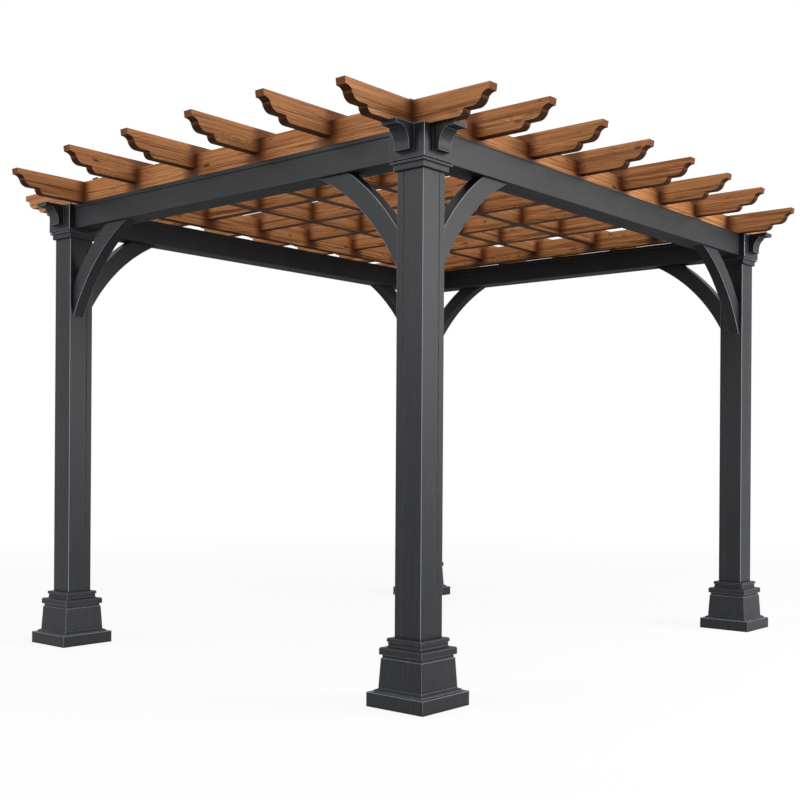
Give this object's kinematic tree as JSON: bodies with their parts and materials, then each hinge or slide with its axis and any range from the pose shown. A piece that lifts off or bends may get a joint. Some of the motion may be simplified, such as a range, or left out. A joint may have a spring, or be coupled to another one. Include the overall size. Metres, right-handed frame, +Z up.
{
  "type": "garden pergola",
  "caption": "Open garden pergola: square coated-steel posts on moulded bases, knee-braced beams and a cross-lapped timber roof with shaped rafter ends.",
  "frame": {"origin": "on the ground, in the middle of the four posts", "axes": "+X along the long spliced beams, +Y along the short one-piece beams, +Z up"},
  "size_m": [3.56, 2.956, 2.294],
  "materials": {
    "coated_steel": "charcoal powder coat, satin",
    "stained_timber": "brown stained softwood with visible grain"
  },
  "bodies": {
    "root": {"front_post": "coated_steel", "front_base_skirt": "coated_steel", "front_collar": "coated_steel", "front_head": "coated_steel", "front_brace_under_long_beam": "coated_steel", "front_brace_under_short_beam": "coated_steel", "left_post": "coated_steel", "left_base_skirt": "coated_steel", "left_collar": "coated_steel", "left_head": "coated_steel", "left_brace_under_long_beam": "coated_steel", "left_brace_under_short_beam": "coated_steel", "right_post": "coated_steel", "right_base_skirt": "coated_steel", "right_collar": "coated_steel", "right_head": "coated_steel", "right_brace_under_long_beam": "coated_steel", "right_brace_under_short_beam": "coated_steel", "back_post": "coated_steel", "back_base_skirt": "coated_steel", "back_collar": "coated_steel", "back_head": "coated_steel", "back_brace_under_long_beam": "coated_steel", "back_brace_under_short_beam": "coated_steel", "left_short_beam": "coated_steel", "right_short_beam": "coated_steel", "front_long_beam_near_half": "coated_steel", "front_long_beam_far_half": "coated_steel", "back_long_beam_near_half": "coated_steel", "back_long_beam_far_half": "coated_steel", "long_rafter_1": "stained_timber", "long_rafter_2": "stained_timber", "long_rafter_3": "stained_timber", "long_rafter_4": "stained_timber", "long_rafter_5": "stained_timber", "long_rafter_6": "stained_timber", "cross_rafter_1": "stained_timber", "cross_rafter_2": "stained_timber", "cross_rafter_3": "stained_timber", "cross_rafter_4": "stained_timber", "cross_rafter_5": "stained_timber", "cross_rafter_6": "stained_timber", "cross_rafter_7": "stained_timber", "cross_rafter_8": "stained_timber", "corner_brackets": "coated_steel"}
  },
  "joints": []
}
